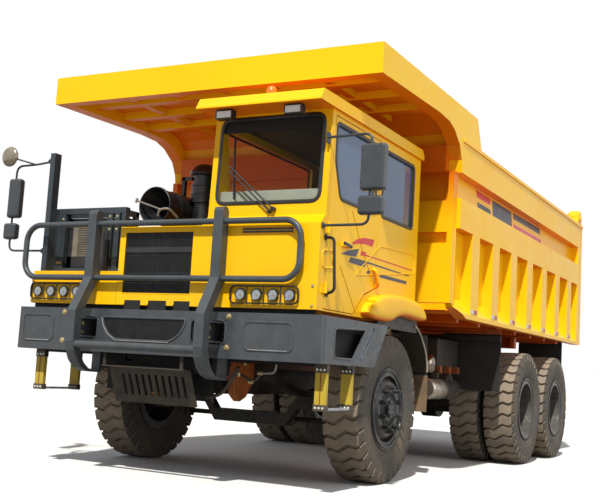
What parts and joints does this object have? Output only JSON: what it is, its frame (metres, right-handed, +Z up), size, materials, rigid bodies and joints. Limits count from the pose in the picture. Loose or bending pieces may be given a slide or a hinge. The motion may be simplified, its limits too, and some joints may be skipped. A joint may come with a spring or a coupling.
{
  "type": "mining dump truck",
  "caption": "Rigid three-axle mining dump truck with an offset cab, a ribbed tipping body with a canopy, a hinged tail gate and a front guard.",
  "frame": {"origin": "on the ground under the middle of the whole vehicle", "axes": "+Z up, the front of the vehicle towards -Y, the cab on the +X side"},
  "size_m": [4, 8.525, 3.73],
  "materials": {
    "body_yellow": "gloss",
    "frame_orange": "satin",
    "guard_grey": "satin",
    "black_steel": "satin",
    "grille_black": "satin",
    "tyre_rubber": "matte",
    "flap_rubber": "matte",
    "rim_dark": "satin",
    "rim_silver": "satin",
    "clear_glass": "gloss",
    "dash_plastic": "matte",
    "black_plastic": "matte",
    "seat_cloth": "matte",
    "lamp_lens": "gloss",
    "step_yellow": "satin",
    "cast_grey": "matte",
    "hoist_chrome": "gloss"
  },
  "bodies": {
    "chassis": {"axle_housings": "cast_grey", "chassis_frame": "frame_orange", "leaf_springs": "black_steel", "engine_block": "cast_grey", "driveline": "cast_grey", "front_bumper": "guard_grey", "skid_plate": "black_steel", "front_guard": "guard_grey", "grille_frame": "body_yellow", "grille_core": "grille_black", "right_deck": "body_yellow", "headlamps": "lamp_lens", "lamp_cages": "black_steel", "cab_shell": "body_yellow", "cab_roof": "body_yellow", "cab_glass": "clear_glass", "dashboard": "dash_plastic", "driver_seat": "seat_cloth", "steering_wheel": "black_plastic", "roof_lamps": "lamp_lens", "cooler_unit": "guard_grey", "air_cleaner": "black_steel", "mirror_right": "black_steel", "mirror_left": "black_steel", "wheel_arches": "body_yellow", "mudguards": "flap_rubber", "steps": "step_yellow", "side_tanks": "black_steel"},
    "knuckle_left": {"knuckle_left": "cast_grey"},
    "knuckle_right": {"knuckle_right": "cast_grey"},
    "track_rod": {"track_rod": "black_steel"},
    "wheel_front_left": {"tyre_front_left": "tyre_rubber", "rim_front_left": "rim_dark"},
    "wheel_front_right": {"tyre_front_right": "tyre_rubber", "rim_front_right": "rim_dark"},
    "wheels_mid_left": {"tyres_mid_left": "tyre_rubber", "rims_mid_left": "rim_silver"},
    "wheels_mid_right": {"tyres_mid_right": "tyre_rubber", "rims_mid_right": "rim_silver"},
    "wheels_rear_left": {"tyres_rear_left": "tyre_rubber", "rims_rear_left": "rim_silver"},
    "wheels_rear_right": {"tyres_rear_right": "tyre_rubber", "rims_rear_right": "rim_silver"},
    "tipping_body": {"bed_floor": "body_yellow", "bed_side_left": "body_yellow", "bed_side_right": "body_yellow", "bed_headboard": "body_yellow", "bed_canopy": "body_yellow", "bed_flaps": "flap_rubber"},
    "tailgate": {"tailgate": "body_yellow"},
    "cab_door": {"cab_door": "body_yellow", "door_glass": "clear_glass"},
    "hoist_barrels": {"hoist_barrels": "black_steel"},
    "hoist_rods": {"hoist_rods": "hoist_chrome"}
  },
  "joints": [
    {"name": "steer_left", "type": "hinge", "parent": "chassis", "child": "knuckle_left", "pos_m": [0.93, -2.36, 0.675], "axis": [0, 0, 1], "range_deg": [-30, 30]},
    {"name": "steer_right", "type": "hinge", "parent": "chassis", "child": "knuckle_right", "pos_m": [-0.93, -2.36, 0.675], "axis": [0, 0, 1], "range_deg": [-30, 30]},
    {"name": "track_rod_slide", "type": "slide", "parent": "chassis", "child": "track_rod", "axis": [1, 0, 0], "range_m": [-0.14, 0.14]},
    {"name": "spin_front_left", "type": "hinge", "parent": "knuckle_left", "child": "wheel_front_left", "pos_m": [1.272, -2.36, 0.675], "axis": [1, 0, 0], "continuous": true},
    {"name": "spin_front_right", "type": "hinge", "parent": "knuckle_right", "child": "wheel_front_right", "pos_m": [-1.272, -2.36, 0.675], "axis": [1, 0, 0], "continuous": true},
    {"name": "spin_mid_left", "type": "hinge", "parent": "chassis", "child": "wheels_mid_left", "pos_m": [1.3855, 1.27, 0.675], "axis": [1, 0, 0], "continuous": true},
    {"name": "spin_mid_right", "type": "hinge", "parent": "chassis", "child": "wheels_mid_right", "pos_m": [-1.3855, 1.27, 0.675], "axis": [1, 0, 0], "continuous": true},
    {"name": "spin_rear_left", "type": "hinge", "parent": "chassis", "child": "wheels_rear_left", "pos_m": [1.3855, 2.77, 0.675], "axis": [1, 0, 0], "continuous": true},
    {"name": "spin_rear_right", "type": "hinge", "parent": "chassis", "child": "wheels_rear_right", "pos_m": [-1.3855, 2.77, 0.675], "axis": [1, 0, 0], "continuous": true},
    {"name": "bed_tip", "type": "hinge", "parent": "chassis", "child": "tipping_body", "pos_m": [0, 3.52, 1.42], "axis": [-1, 0, 0], "range_deg": [0, 50]},
    {"name": "gate_swing", "type": "hinge", "parent": "tipping_body", "child": "tailgate", "pos_m": [0, 4.08, 3.51], "axis": [1, 0, 0], "range_deg": [0, 60]},
    {"name": "door_swing", "type": "hinge", "parent": "chassis", "child": "cab_door", "pos_m": [1.484, -3.859, 2], "axis": [0, 0, -1], "range_deg": [0, 70]},
    {"name": "hoist_swing", "type": "hinge", "parent": "chassis", "child": "hoist_barrels", "pos_m": [0, 2.12, 1.1], "axis": [-1, 0, 0], "range_deg": [0, 66]},
    {"name": "hoist_extend", "type": "slide", "parent": "hoist_barrels", "child": "hoist_rods", "axis": [0, -0.9839, 0.1789], "range_m": [0, 1.02]}
  ],
  "couplings": [
    {"joint": "steer_right", "follows": "steer_left", "ratio": 1},
    {"joint": "track_rod_slide", "follows": "steer_left", "m_per_rad": -0.26},
    {"joint": "hoist_swing", "follows": "bed_tip", "ratio": 1.289},
    {"joint": "hoist_extend", "follows": "bed_tip", "m_per_rad": 1.1542}
  ]
}
